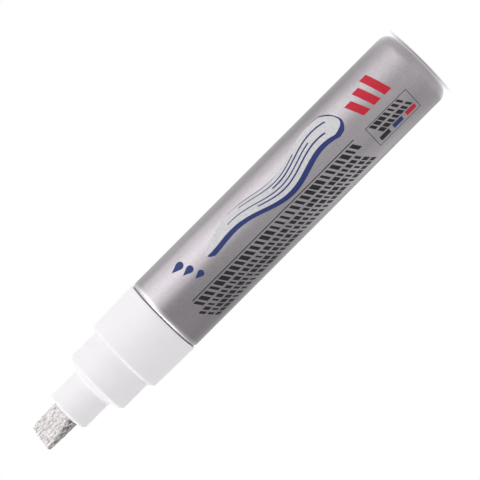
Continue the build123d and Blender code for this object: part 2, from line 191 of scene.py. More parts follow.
class MarkerPrint(bpy.types.PropertyGroup):
    """The barrel's print: across runs round it from the camera's side, along runs up from the tail."""

    ink_lift: length("Ink lift", "Height of one printed coat above the lacquer", 0.012)
    sweep_across: length("Sweep across", "Middle of the sweep of paint", 3.9)
    sweep_span: lengths("Sweep span", "Its round end and its drawn-out end along", 25.0, 72.0)
    sweep_width: length("Sweep width", "Half its width where it is widest", 3.5)
    sweep_rim: length("Sweep rim", "Blue rim round it", 0.7)
    shadow_shift: lengths("Shadow shift", "How far its shadow is moved across and to the tail", 0.6, 0.5)
    drop_place: lengths("Drop place", "First drop of paint across and along", 1.0, 75.6)
    drop_step: lengths("Drop step", "Step across and along to the next drop", 2.7, 1.3)
    drop_radius: length("Drop radius", "Radius of the first drop", 0.85)
    drop_growth: length("Drop growth", "How much larger the next drop is", 0.15)
    bar_low: length("Bar low", "Height of the first slanted bar", 10.5)
    bar_pitch: length("Bar pitch", "Step along to the next bar", 3.6)
    bar_width: length("Bar width", "Width of one bar along the barrel", 2.3)
    bar_slant: length("Bar slant", "Rise of a bar over its run", 2.0)
    bar_run: length("Bar run", "First bar's run round the barrel", 7.4)
    bar_loss: length("Bar loss", "How much shorter the next bar is", 1.2)
    block_sides: lengths("Block sides", "Near and far edge of the framed block across", 2.6, 9.2)
    block_ends: lengths("Block ends", "Both ends of the framed block along", 8.2, 22.2)
    block_line: length("Block line", "Width of its frame", 0.16)
    swatch_inset: length("Swatch inset", "Frame to swatch", 0.85)
    swatch_size: lengths("Swatch size", "One swatch across and along", 1.35, 3.2)
    swatch_pitch: length("Swatch pitch", "Step along to the next swatch", 4.4)
    rule_across: length("Rule across", "Long rule beside the sweep", 2.3)
    rule_width: length("Rule width", "Width of that rule", 0.25)
    rule_ends: lengths("Rule ends", "Both ends of that rule along", 26.0, 82.0)
    bold_across: length("Bold across", "Row of bold dashes", 4.1)
    bold_size: lengths("Bold size", "Pitch, length, row pitch and width of bold dashes", 1.75, 1.5, 2.1, 2.2)
    small_across: length("Small across", "Middle row of small dashes", 8.7)
    small_size: lengths("Small size", "The same four sizes of small dashes", 1.5, 1.3, 2.1, 1.5)
    tail_place: lengths("Tail place", "Middle of the block's dashes across and along", 4.8, 15.2)
    shortest_dash: number("Shortest dash", "Share of the full length that the shortest has", 0.45)
    dash_slant: number("Dash slant", "Rise of a dash over its width", 0.6)


class MarkerColours(bpy.types.PropertyGroup):
    """Colours of the finishes."""

    silver: colour("Silver", "Lacquer on the barrel", 0.164, 0.152, 0.162)
    # Brighter metal on the rolled lip, a painted highlight.
    lip_highlight_metal: colour("Bare lip", "Aluminium where the lacquer is thin", 0.31, 0.303, 0.306)
    white: colour("White", "Moulded front", 0.85, 0.828, 0.854)
    felt_light: colour("Felt light", "Paint standing on the felt", 0.54, 0.508, 0.508)
    felt_dark: colour("Felt dark", "Felt between the paint", 0.16, 0.15, 0.15)
    ink_red: colour("Red ink", "Printed red", 0.5, 0.012, 0.03)
    ink_blue: colour("Blue ink", "Printed dark blue", 0.018, 0.032, 0.14)
    ink_black: colour("Black ink", "Printed black", 0.01, 0.01, 0.012)
    ink_white: colour("White ink", "Printed pale coat", 0.62, 0.61, 0.63)
    milky: colour("Milky plastic", "Unpigmented mouldings of the valve", 0.72, 0.73, 0.7)
    rubber: colour("Rubber", "Gasket and valve washer", 0.03, 0.03, 0.032)
    steel: colour("Steel", "Spring wire and mixing ball", 0.52, 0.52, 0.54)
    paper: colour("Paper", "Studio floor", 0.86, 0.86, 0.86)


class MarkerStage(bpy.types.PropertyGroup):
    """Camera and light; every azimuth counts from the camera's."""

    camera_distance: length("Camera distance", "From the marker's axis", 610.0)
    camera_height: length("Camera height", "Above the floor", 46.4)
    aim_height: length("Aim height", "Point of the axis in the middle of the picture", 63.35)
    aim_side: length("Aim side", "How far that point lies beside the axis", 0.05)
    roll: angle("Roll", "Turn of the picture about the line of sight", 135.05)
    scale: number("Scale", "Picture pixels per millimetre at the axis", 4.0)
    ambient: number("Ambient", "Light from all round", 0.79)
    floor_glow: number("Floor glow", "How much the floor is brightened for camera and gloss", 0.4)
    key_power: power("Key power", "Softbox beside the nib", 0.5)
    key_angle: angle("Key angle", "Azimuth of that softbox", 60)
    key_distance: length("Key distance", "Softbox to axis", 500.0)
    key_height: length("Key height", "Softbox above the floor", 125.0)
    key_size: length("Key size", "Side of the softbox", 300.0)
    top_power: power("Top power", "Softbox above the nib", 0.5)
    top_height: length("Top height", "That softbox above the floor", 550.0)
    top_lead: length("Top lead", "How far it stands towards the camera", 105.0)
    top_size: length("Top size", "Its side", 420.0)
    strip_power: power("Strip power", "Reflector strip that only gloss shows", 2.8)
    strip_angle: angle("Strip angle", "Azimuth of the strip", 64)
    strip_height: length("Strip height", "Strip above the floor", 160.0)
    strip_width: length("Strip width", "Strip across", 990.0)
    strip_depth: length("Strip depth", "Strip from top to bottom", 270.0)
    back_power: power("Back power", "Strip behind the marker that only gloss shows", 0.15)
    back_angle: angle("Back angle", "Azimuth of the strip behind", 130)
    back_width: length("Back width", "Strip behind across", 300.0)
    canopy_power: power("Canopy power", "Each of three raised panels that only gloss shows", 3.1)
    canopy_rise: angle("Canopy rise", "Elevation of those panels from the collar", 60)
    canopy_spread: angle("Canopy spread", "Azimuth between panels of three", 75)
    canopy_size: lengths("Canopy size", "One raised panel across and from top to bottom", 780.0, 480.0)
    low_power: power("Low power", "Each of three low panels that only gloss shows", 0.05)
    low_angle: angle("Low angle", "Azimuth of the middle low panel", -25)
    low_distance: length("Low distance", "Low panels to axis", 160.0)
    low_height: length("Low height", "Low panels' middle above the floor", 20.0)
    low_size: lengths("Low size", "One low panel across and from top to bottom", 220.0, 60.0)
    glow_power: power("Glow power", "Light table under the tail that only gloss shows", 0.042)
    glow_size: length("Glow size", "Light table across", 130.0)
    glow_height: length("Glow height", "Light table above the floor", 0.4)
    glow_offset: length("Glow offset", "Light table's middle from the axis, on the strip's side", 40.0)


# Mesh helpers


def linked(name, data):
    """A new object in the scene."""
    obj = bpy.data.objects.new(name, data)
    bpy.context.scene.collection.objects.link(obj)
    return obj


def meshed(name, verts, faces):
    """A checked mesh of these corners and faces."""
    mesh = bpy.data.meshes.new(name)
    mesh.from_pydata(verts, [], faces)
    mesh.validate()
    return mesh


def settled(name, mesh, sharp=math.radians(28)):
    """An object for a mesh, shaded smooth between its sharp edges."""
    mesh.shade_smooth()
    mesh.set_sharp_from_angle(angle=sharp)
    return linked(name, mesh)


def arc(centre, radius, start, end, steps):
    """Points on an arc, from one angle to another in degrees."""
    angles = np.radians(np.linspace(start, end, steps + 1))
    return [(centre[0] + radius * math.cos(a), centre[1] + radius * math.sin(a)) for a in angles]


def rounded(corners, steps=8):
    """A closed half profile from (radius, height) corners; one with a third value is rounded by it."""
    points = []
    for i, (r, z, *size) in enumerate(corners):
        if not size:
            points.append((r, z))
            continue
        here = Vector((r, z))
        before = (Vector(corners[i - 1][:2]) - here).normalized()
        after = (Vector(corners[(i + 1) % len(corners)][:2]) - here).normalized()
        half = before.angle(after) / 2
        centre = here + (before + after).normalized() * (size[0] / math.sin(half))
        first = here + before * (size[0] / math.tan(half)) - centre
        last = here + after * (size[0] / math.tan(half)) - centre
        sweep = first.angle_signed(last)
        for k in range(steps + 1):
            points.append(tuple(centre + Matrix.Rotation(-sweep * k / steps, 2) @ first))
    return points


def braced(points, closed, reach=0.12 * MM, least=5):
    """Adds points close to both ends of each long run, so that smooth shading stays flat along it."""
    result = []
    for i, point in enumerate(points):
        p, q = Vector(point), Vector(points[(i + 1) % len(points)])
        result.append(tuple(p))
        if i == len(points) - 1 and not closed:
            break
        run = (q - p).length
        if run > least * reach:
            result.append(tuple(p.lerp(q, reach / run)))
            result.append(tuple(q.lerp(p, reach / run)))
    return result


def turned(name, profile, closed, segments=224, on_axis=1e-9):
    """A piece turned about Z from a half profile, facing outward; a flat disc drawn outward faces up."""
    area = sum(r0 * z1 - r1 * z0 for (r0, z0), (r1, z1) in zip(profile, profile[1:] + profile[:1]))
    angles = np.linspace(0, 2 * math.pi, segments, endpoint=False)
    verts, rings, faces = [], [], []
    for r, z in braced(profile if area > 0 else profile[::-1], closed):
        if r < on_axis:
            rings.append([len(verts)] * segments)
            verts.append((0, 0, z))
        else:
            rings.append(list(range(len(verts), len(verts) + segments)))
            verts.extend((r * math.cos(a), r * math.sin(a), z) for a in angles)
    for low, high in zip(rings, rings[1:] + (rings[:1] if closed else [])):
        for i in range(segments):
            j = (i + 1) % segments
            faces.append(list(dict.fromkeys((low[i], low[j], high[j], high[i]))))
    return settled(name, meshed(name, verts, faces))


def show(obj, body, material=None, stands_for=()):
    """Gives a piece its finish and ties it to its CAD body."""
    if material is not None:
        obj.data.materials.clear()
        obj.data.materials.append(material)
    if stands_for:
        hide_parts(*stands_for)
    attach(obj, body)
    return obj


# Node helpers


def feed(tree, node, inputs):
    """Sets or links a node's inputs by name or number."""
    for key, value in dict(inputs).items():
        if isinstance(value, bpy.types.NodeSocket):
            tree.links.new(value, node.inputs[key])
        else:
            node.inputs[key].default_value = value
    return node


def put(tree, kind, inputs=(), **settings):
    """A new node with its settings and inputs."""
    node = tree.nodes.new(kind)
    for key, value in settings.items():
        setattr(node, key, value)
    return feed(tree, node, inputs)


def tap(tree, kind, inputs=(), output=0, **settings):
    """One output of a new node, by its name or by its number among those in use."""
    live = [socket for socket in put(tree, kind, inputs, **settings).outputs if socket.enabled]
    return live[output] if isinstance(output, int) else next(s for s in live if s.name == output)


def math_node(tree, operation, first, second=0.0):
    """One sum of two values."""
    return tap(tree, "ShaderNodeMath", {0: first, 1: second}, operation=operation)


def sums(tree):
    """Ways to add, subtract, multiply and divide a tree's values."""
    return [partial(math_node, tree, operation) for operation in ("ADD", "SUBTRACT", "MULTIPLY", "DIVIDE")]


def finish(name):
    """An empty material: its tree and its Principled shader."""
    material = bpy.data.materials.new(name)
    material.use_nodes = True
    tree = material.node_tree
    return material, tree, tree.nodes["Principled BSDF"]


def rgba(values, gain=1.0):
    """A colour with alpha, dimmed or raised."""
    return (*[min(1.0, v * gain) for v in values], 1.0)


def ramp(tree, factor, *stops):
    """A colour ramp over a factor: (position, colour) stops, the two ends first."""
    node = put(tree, "ShaderNodeValToRGB", {"Fac": factor})
    for i, (position, value) in enumerate(stops):
        element = node.color_ramp.elements[i] if i < 2 else node.color_ramp.elements.new(position)
        element.position = position
        element.color = value
    return node.outputs["Color"]


def spread(tree, factor, low, high):
    """Maps a factor from 0..1 to a range."""
    return tap(tree, "ShaderNodeMapRange", {"Value": factor, "To Min": low, "To Max": high})


def grain(tree, scale, detail=3.0, stretch=(1, 1, 1), roughness=0.55):
    """Noise over the object's own coordinates, stretched along its axes."""
    place = tap(tree, "ShaderNodeTexCoord", output="Object")
    mapped = tap(tree, "ShaderNodeMapping", {"Vector": place, "Scale": stretch})
    inputs = {"Vector": mapped, "Scale": scale, "Detail": detail, "Roughness": roughness}
    return tap(tree, "ShaderNodeTexNoise", inputs, "Fac")


def bumped(tree, height, depth, strength):
    """A normal bumped by a height, to a depth in millimetres."""
    return tap(tree, "ShaderNodeBump", {"Height": height, "Distance": depth * MM, "Strength": strength})


# Finishes


def mottled(name, value, cloud, tones, rough, dent, stir=None, peel=None, fixed=()):
    """A finish in one colour: a cloud of noise stirs its tone, its roughness and its surface.

    Noises are (scale, detail, stretch), tones (position, gain) stops, rough a range of roughness, and dent
    the bump's depth and strength. Stir and peel are noises that roughness and surface have to themselves.
    """
    material, tree, shader = finish(name)
    field = grain(tree, *cloud)
    inputs = {
        "Base Color": ramp(tree, field, *[(position, rgba(value, gain)) for position, gain in tones]),
        "Roughness": spread(tree, grain(tree, *stir) if stir else field, *rough),
        "Normal": bumped(tree, grain(tree, *peel) if peel else field, *dent),
        **dict(fixed),
    }
    feed(tree, shader, inputs)
    return material


def white_moulding(colours):
    """Smooth white moulded plastic with a faint satin texture."""
    fixed = {
        "Specular IOR Level": 0.18,
        "Subsurface Weight": 0.12,
        "Subsurface Radius": (1.0, 0.9, 0.8),
        "Subsurface Scale": 0.6 * MM,
    }
    return mottled(
        "white_moulding",
        colours.white,
        cloud=(160.0, 3.0),
        tones=((0.3, 0.985), (0.7, 1.01)),
        rough=(0.44, 0.56),
        dent=(0.003, 0.4),
        stir=(700.0, 2.0),
        peel=(2600.0, 2.0),
        fixed=fixed,
    )


def milky_plastic(colours):
    """Unpigmented moulding, a little cloudy."""
    fixed = {"Subsurface Weight": 0.3, "Subsurface Radius": (1.0, 1.0, 0.9), "Subsurface Scale": 1.0 * MM}
    return mottled(
        "milky_plastic",
        colours.milky,
        cloud=(260.0, 4.0),
        tones=((0.3, 0.93), (0.7, 1.05)),
        rough=(0.3, 0.45),
        dent=(0.004, 0.4),
        peel=(1800.0, 2.0),
        fixed=fixed,
    )


def ink(name, value):
    """Screen-printed ink: near-flat colour with pinholes and a slight sheen."""
    fixed = {"Specular IOR Level": 0.14}
    tones = ((0.3, 0.85), (0.7, 1.1))
    return mottled(name, value, (2200.0, 4.0), tones, rough=(0.46, 0.62), dent=(0.003, 0.4), fixed=fixed)


def seal_rubber(colours):
    """Matte dark rubber with a dusty bloom."""
    tones = ((0.4, 1.0), (0.75, 2.2))
    return mottled("seal_rubber", colours.rubber, (1200.0, 5.0), tones, rough=(0.6, 0.85), dent=(0.01, 0.6))


def bare_steel(name, colours, **look):
    """Steel without a coat."""
    return mottled(name, colours.steel, fixed={"Metallic": 1.0}, **look)


def drawn_steel(colours):
    """Spring wire with the fine lines that drawing leaves round its turns."""
    lines = (2400.0, 3.0, (0.2, 0.2, 3.0))
    tones = ((0.3, 0.8), (0.7, 1.1))
    return bare_steel("drawn_steel", colours, cloud=lines, tones=tones, rough=(0.22, 0.4), dent=(0.004, 0.5))


def ball_steel(colours):
    """Ground steel ball, scuffed by its tumbling."""
    scuff = (900.0, 6.0, (1, 2.5, 0.6))
    tones = ((0.35, 0.9), (0.65, 1.15))
    return bare_steel("ball_steel", colours, cloud=scuff, tones=tones, rough=(0.08, 0.3), dent=(0.002, 0.4))


def silver_lacquer(colours, lip_low, lip_high):
    """Aluminium-flake lacquer: fine sparkle, slight orange peel, faint haze, and brighter metal on the rolled
    lip as a painted highlight.
    """
    material, tree, shader = finish("silver_lacquer")
    silver = partial(rgba, colours.silver)
    place = tap(tree, "ShaderNodeTexCoord", output="Object")
    flake = tap(tree, "ShaderNodeTexVoronoi", {"Vector": place, "Scale": 5200.0}, "Color")
    sparkle = spread(tree, tap(tree, "ShaderNodeSeparateColor", {"Color": flake}), -0.22, 0.22)
    haze = grain(tree, scale=90.0, detail=4.0, stretch=(1, 1, 0.35))
    base = ramp(tree, math_node(tree, "ADD", sparkle, haze), (0.2, silver(0.88)), (0.8, silver(1.12)))
    height = tap(tree, "ShaderNodeSeparateXYZ", {0: place}, 2)
    lip = tap(tree, "ShaderNodeMapRange", {"Value": height, "From Min": lip_low, "From Max": lip_high})
    # The lip's band of brighter metal is a painted highlight that lifts the lip's reflection.
    full, part_highlight, full_highlight = (rgba((share, share, share)) for share in (0.0, 0.4, 1.0))
    thin = ramp(tree, lip, (0.0, full), (1.0, full), (0.3, part_highlight), (0.6, full_highlight), (0.85, full_highlight))
    layers = {"Factor": thin, "A": base, "B": rgba(colours.lip_highlight_metal)}
    inputs = {
        "Base Color": tap(tree, "ShaderNodeMix", layers, data_type="RGBA"),
        "Roughness": spread(tree, haze, 0.33, 0.42),
        "Metallic": 1.0,
        "Coat Weight": 0.12,
        "Coat Roughness": 0.22,
        "Normal": bumped(tree, grain(tree, scale=1400.0, detail=2.0), depth=0.004, strength=0.5),
    }
    feed(tree, shader, inputs)
    return material


def painted_felt(colours):
    """Felt soaked with silver paint: pale clots and dark streaks along the fibres, and painted shade on the
    rod's round sides, which take a darker ramp than the flats.
    """
    material, tree, shader = finish("painted_felt")
    dark, light = partial(rgba, colours.felt_dark), partial(rgba, colours.felt_light)
    clot = grain(tree, scale=1900.0, detail=5.0, stretch=(1, 1, 0.45), roughness=0.65)
    streak = grain(tree, scale=4300.0, detail=3.0, stretch=(1, 1, 0.28), roughness=0.6)
    mixed = tap(tree, "ShaderNodeMix", {"Factor": 0.5, "A": clot, "B": streak})
    flat = ramp(tree, mixed, (0.37, dark()), (0.64, light(1.2)), (0.44, light(0.66)), (0.53, light()))
    # The round sides' darker ramp is painted shade.
    side = ramp(tree, clot, (0.44, dark(0.3)), (0.58, light(0.95)))
    paint = tap(tree, "ShaderNodeAttribute", output="Fac", attribute_name="paint")
    ragged = math_node(tree, "ADD", paint, spread(tree, clot, -0.9, 0.9))
    inputs = {
        "Base Color": tap(tree, "ShaderNodeMix", {"Factor": ragged, "A": side, "B": flat}, data_type="RGBA"),
        "Roughness": spread(tree, mixed, 0.75, 0.4),
        "Metallic": 0.12,
        "Normal": bumped(tree, mixed, depth=0.06, strength=0.7),
    }
    feed(tree, shader, inputs)
    return material


# Geometry Nodes


def node_group(name, **sockets):
    """A geometry tree with named inputs of each kind and a material: the tree, its values and their keys."""
    tree = bpy.data.node_groups.new(name, "GeometryNodeTree")
    for way in ("OUTPUT", "INPUT"):
        tree.interface.new_socket("Geometry", in_out=way, socket_type="NodeSocketGeometry")
    keys = {}
    for kind, labels in {**sockets, "Material": ["Material"]}.items():
        for label in labels:
            socket = tree.interface.new_socket(label, in_out="INPUT", socket_type=f"NodeSocket{kind}")
            keys[label] = socket.identifier
    return tree, tree.nodes.new("NodeGroupInput").outputs, keys


def end_group(tree, geometry, material):
    """Closes a geometry tree: instances made real and the finish set."""
    real = tap(tree, "GeometryNodeRealizeInstances", {"Geometry": geometry})
    dressed = tap(tree, "GeometryNodeSetMaterial", {"Geometry": real, "Material": material})
    put(tree, "NodeGroupOutput", {"Geometry": dressed})


def wrapped(tree, geometry, radius, facing):
    """Rolls flat artwork onto the barrel: x runs round it, y lifts off it and z stays."""
    plus, _, times, over = sums(tree)
    flat = put(tree, "ShaderNodeSeparateXYZ", {0: tap(tree, "GeometryNodeInputPosition")}).outputs
    turn = plus(over(flat[0], radius), facing)
    reach = plus(radius, flat[1])
    x = times(reach, math_node(tree, "SINE", turn))
    y = times(reach, times(math_node(tree, "COSINE", turn), -1.0))
    rolled = tap(tree, "ShaderNodeCombineXYZ", {0: x, 1: y, 2: flat[2]})
    return tap(tree, "GeometryNodeSetPosition", {"Geometry": geometry, "Position": rolled})


def wrap_tree():
    """Rolls an artwork mesh onto the barrel."""
    tree, take, keys = node_group("Roll onto barrel", Float=["Radius", "Facing"])
    end_group(tree, wrapped(tree, take["Geometry"], take["Radius"], take["Facing"]), take["Material"])
    return tree, keys


def dash_tree():
    """Rows of printed dashes of uneven length, rolled onto the barrel."""
    tree, take, keys = node_group(
        "Dash rows",
        Int=["Columns", "Rows", "Seed"],
        Float=["Pitch", "Row pitch", "Length", "Width", "Shortest", "Slant", "Radius", "Facing"],
        Vector=["Middle"],
    )
    _, minus, times, _ = sums(tree)

    def upright_grid(wide, tall, columns, rows, **place):
        """A grid stood up to face the viewer."""
        sizes = {"Size X": wide, "Size Y": tall, "Vertices X": columns, "Vertices Y": rows}
        flat = tap(tree, "GeometryNodeMeshGrid", sizes)
        inputs = {"Geometry": flat, "Rotation": (math.pi / 2, 0.0, 0.0), **place}
        return tap(tree, "GeometryNodeTransform", inputs)

    wide = times(take["Row pitch"], minus(take["Rows"], 1.0))
    tall = times(take["Pitch"], minus(take["Columns"], 1.0))
    places = upright_grid(wide, tall, take["Rows"], take["Columns"], Translation=take["Middle"])
    # A dash has enough columns to follow the barrel's curve
    dash = upright_grid(take["Width"], take["Length"], columns=6, rows=2)
    uneven = {"Min": take["Shortest"], "Max": 1.0, "Seed": take["Seed"]}
    share = tap(tree, "FunctionNodeRandomValue", uneven, data_type="FLOAT")
    scale = tap(tree, "ShaderNodeCombineXYZ", {0: 1.0, 1: 1.0, 2: share})
    inputs = {"Points": places, "Instance": dash, "Scale": scale}
    real = tap(tree, "GeometryNodeRealizeInstances", {0: tap(tree, "GeometryNodeInstanceOnPoints", inputs)})
    place = tap(tree, "GeometryNodeInputPosition")
    from_middle = tap(tree, "ShaderNodeVectorMath", {0: place, 1: take["Middle"]}, operation="SUBTRACT")
    across = tap(tree, "ShaderNodeSeparateXYZ", {0: from_middle})
    lean = tap(tree, "ShaderNodeCombineXYZ", {2: times(across, take["Slant"])})
    slanted = tap(tree, "GeometryNodeSetPosition", {"Geometry": real, "Offset": lean})
    end_group(tree, wrapped(tree, slanted, take["Radius"], take["Facing"]), take["Material"])
    return tree, keys


def rib_tree():
    """Straight ribs that stand round the axis and face it."""
    tree, take, keys = node_group("Guide ribs", Int=["Count"], Float=["Radius"], Vector=["Middle", "Rib"])
    ring = tap(tree, "GeometryNodeMeshCircle", {"Vertices": take["Count"], "Radius": take["Radius"]})
    place = tap(tree, "GeometryNodeInputPosition")
    outward = tap(tree, "FunctionNodeAlignRotationToVector", {"Vector": place}, axis="X")
    rib = tap(tree, "GeometryNodeMeshCube", {"Size": take["Rib"]})
    inputs = {"Points": ring, "Instance": rib, "Rotation": outward}
    placed = tap(tree, "GeometryNodeInstanceOnPoints", inputs)
    stood = tap(tree, "GeometryNodeTransform", {"Geometry": placed, "Translation": take["Middle"]})
    end_group(tree, stood, take["Material"])
    return tree, keys


def fibre_tree(sideways=0.45, upward=0.7, lift=0.12, taper=0.3, sides=5):
    """Loose fibres scattered over the felt, most of them lying along the nib."""
    tree, take, keys = node_group("Felt fibres", Float=["Density", "Length", "Thickness"], Int=["Seed"])
    inputs = {"Mesh": take["Geometry"], "Density": take["Density"], "Seed": take["Seed"]}
    scattered = put(tree, "GeometryNodeDistributePointsOnFaces", inputs).outputs
    inputs = {
        "Vertices": sides,
        "Radius Top": math_node(tree, "MULTIPLY", take["Thickness"], taper),
        "Radius Bottom": take["Thickness"],
        "Depth": take["Length"],
    }
    fibre = tap(tree, "GeometryNodeMeshCone", inputs)
    low, high = (-sideways, -sideways, upward), (sideways, sideways, 1.0)
    inputs = {"Min": low, "Max": high, "Seed": take["Seed"]}
    way = tap(tree, "FunctionNodeRandomValue", inputs, data_type="FLOAT_VECTOR")
    lifted = tap(tree, "ShaderNodeVectorMath", {0: scattered["Normal"], "Scale": lift}, operation="SCALE")
    aim = tap(tree, "ShaderNodeVectorMath", {0: way, 1: lifted}, operation="ADD")
    turn = tap(tree, "FunctionNodeAlignRotationToVector", {"Vector": aim}, axis="Z")
    inputs = {"Points": scattered["Points"], "Instance": fibre, "Rotation": turn}
    end_group(tree, tap(tree, "GeometryNodeInstanceOnPoints", inputs), take["Material"])
    return tree, keys


def spring_tree(turn_steps=48, wire_steps=12):
    """A coil spring of round wire: open turns between closed-up turns at both ends."""
    tree, take, keys = node_group(
        "Coil spring",
        Int=["Open turns", "End turns"],
        Float=["End pitch", "Radius", "Wire", "Length", "Bottom"],
    )
    plus, minus, times, over = sums(tree)
    both_ends = times(take["End turns"], 2.0)
    turns = plus(take["Open turns"], both_ends)
    inputs = {
        "Resolution": turn_steps,
        "Rotations": turns,
        "Start Radius": take["Radius"],
        "End Radius": take["Radius"],
        "Height": 0.0,
        "Reverse": True,
    }
    circle = tap(tree, "GeometryNodeCurveSpiral", inputs)
    turn = times(tap(tree, "GeometryNodeSplineParameter", output="Factor"), turns)
    past_end = math_node(tree, "MAXIMUM", minus(turn, take["End turns"]), 0.0)
    opened = math_node(tree, "MINIMUM", past_end, take["Open turns"])
    closed_rise = times(minus(turn, opened), take["End pitch"])
    climb = minus(take["Length"], times(take["Wire"], 2.0))
    open_climb = minus(climb, times(both_ends, take["End pitch"]))
    rise = plus(closed_rise, times(opened, over(open_climb, take["Open turns"])))
    height = plus(rise, plus(take["Bottom"], take["Wire"]))
    lift = tap(tree, "ShaderNodeCombineXYZ", {2: height})
    coil = tap(tree, "GeometryNodeSetPosition", {"Geometry": circle, "Offset": lift})
    section = {"Resolution": wire_steps, "Radius": take["Wire"]}
    section = tap(tree, "GeometryNodeCurvePrimitiveCircle", section)
    inputs = {"Curve": coil, "Profile Curve": section, "Fill Caps": True}
    end_group(tree, tap(tree, "GeometryNodeCurveToMesh", inputs), take["Material"])
    return tree, keys


def grown(name, group, mesh=None, **values):
    """A piece that a geometry tree makes, from a mesh or from nothing, kept as a plain mesh."""
    tree, keys = group
    obj = linked(name, bpy.data.meshes.new(name) if mesh is None else mesh)
    modifier = obj.modifiers.new(tree.name, "NODES")
    modifier.node_group = tree
    for label, value in values.items():
        modifier[keys[label.replace("_", " ").capitalize()]] = value
    depsgraph = bpy.context.evaluated_depsgraph_get()
    result = bpy.data.meshes.new_from_object(obj.evaluated_get(depsgraph))
    obj.modifiers.clear()
    obj.data = result
    return obj


# Flat artwork


class Artwork:
    """Printed shapes laid out flat: across runs round the barrel, height along it."""

    def __init__(self, lift):
        self.lift = lift
        self.verts = []
        self.faces = []

    def ribbon(self, heights, lows, highs, pitch=0.35 * MM):
        """A band between two edges that follow the height."""
        widest = max(high - low for low, high in zip(lows, highs))
        columns = max(2, math.ceil(widest / pitch))
        start = len(self.verts)
        for z, low, high in zip(heights, lows, highs):
            for k in range(columns + 1):
                self.verts.append((low + (high - low) * k / columns, self.lift, z))
        for row in range(len(heights) - 1):
            for k in range(columns):
                a = start + row * (columns + 1) + k
                self.faces.append((a, a + 1, a + columns + 2, a + columns + 1))

    def box(self, low, high, bottom, top):
        """A plain rectangle."""
        self.ribbon([bottom, top], [low, low], [high, high])

    def convex(self, points, rows):
        """A filled convex outline."""
        corners = sorted({p[1] for p in points})
        heights = sorted({*corners, *np.linspace(corners[0], corners[-1], rows)})
        lows, highs = [], []
        for z in heights:
            hits = []
            for (x0, z0), (x1, z1) in zip(points, points[1:] + points[:1]):
                if min(z0, z1) <= z <= max(z0, z1):
                    hits.extend((x0, x1) if z0 == z1 else (x0 + (x1 - x0) * (z - z0) / (z1 - z0),))
            lows.append(min(hits))
            highs.append(max(hits))
        self.ribbon(heights, lows, highs)


# The sweep of paint, in shares of its length and width: half waves along it, their height and how much of
# that is lost on the way, the length of its round end, how fast it is drawn out, and where its rim closes
WAVES, WAVE_HEIGHT, WAVE_LOSS = 3.2, 0.55, 0.25
ROUND_END, DRAW_OUT, RIM_END = 0.07, 0.45, 0.03


def swoosh(art, place, edges=(-1.0, 1.0), part=(0.0, 1.0), grow=0.0, shift=(0.0, 0.0), steps=150):
    """A waving sweep of paint, round at the tail and drawn to a point; edges and part pick a band of it."""
    across, span, width = place
    bottom, top = span
    heights, lows, highs = [], [], []
    for turn in np.linspace(0, math.pi, steps):
        u = part[0] + (part[1] - part[0]) * (1 - math.cos(turn)) / 2
        wave = math.sin(u * WAVES * math.pi) * (WAVE_HEIGHT - WAVE_LOSS * u)
        half = width * min(1.0, (u / ROUND_END) ** 0.5) * (1 - u) ** DRAW_OUT
        centre = across + width * wave + shift[0]
        ends = grow * min(1.0, u / RIM_END, (1 - u) / RIM_END)
        heights.append(bottom + (top - bottom) * u + shift[1])
        lows.append(centre + edges[0] * half - ends)
        highs.append(centre + edges[1] * half + ends)
    art.ribbon(heights, lows, highs)


def drop(across, bottom, radius, start=145, end=395, point=2.3, steps=21):
    """The outline of a drop of paint with its point towards the nib."""
    return arc((across, bottom), radius, start, end, steps) + [(across, bottom + point * radius)]


# Operators


class MARKER_OT_barrel(bpy.types.Operator):
    """Turns the lacquered can: flat foot, shallow dome, straight side and the lip rolled in at its mouth"""

    bl_idname = "marker.barrel"
    bl_label = "Barrel"

    def execute(self, context):
        s = context.scene.marker_sizes
        rest = s.tail_dome_radius - s.tail_corner_radius
        dome = math.asin(s.tail_dome_width / rest)
        foot = BARREL_RADIUS - s.tail_corner_radius - s.tail_dome_width
        corner = (foot + rest * math.sin(dome), s.tail_dome_radius - rest * math.cos(dome))
        tilt = math.degrees(dome)
        lip = (BARREL_RADIUS - s.lip_radius, BARREL_TOP - s.lip_radius)
        bore = BARREL_RADIUS - s.barrel_wall
        profile = [
            (0, 0),
            *arc((foot, s.tail_dome_radius), s.tail_dome_radius, -90, tilt - 90, steps=6),
            *arc(corner, s.tail_corner_radius, tilt - 90, 0, steps=18)[1:],
            *arc(lip, s.lip_radius, 0, 90, steps=14),
            (lip[0] - s.lip_flat, BARREL_TOP),
            (lip[0] - s.lip_flat, BARREL_TOP - s.barrel_wall),
            (lip[0], BARREL_TOP - s.barrel_wall),
            (bore, lip[1]),
            (bore, s.barrel_floor + s.floor_chamfer),
            (bore - s.floor_chamfer, s.barrel_floor),
            (0, s.barrel_floor),
        ]
        can = turned("barrel_can", profile, closed=False)
        skirt_edge = BARREL_TOP + s.collar_gap - s.collar_skirt
        lacquer = silver_lacquer(context.scene.marker_colours, BARREL_TOP - s.lip_highlight_reach, skirt_edge)
        show(can, "barrel", lacquer, ["barrel"])
        return {"FINISHED"}


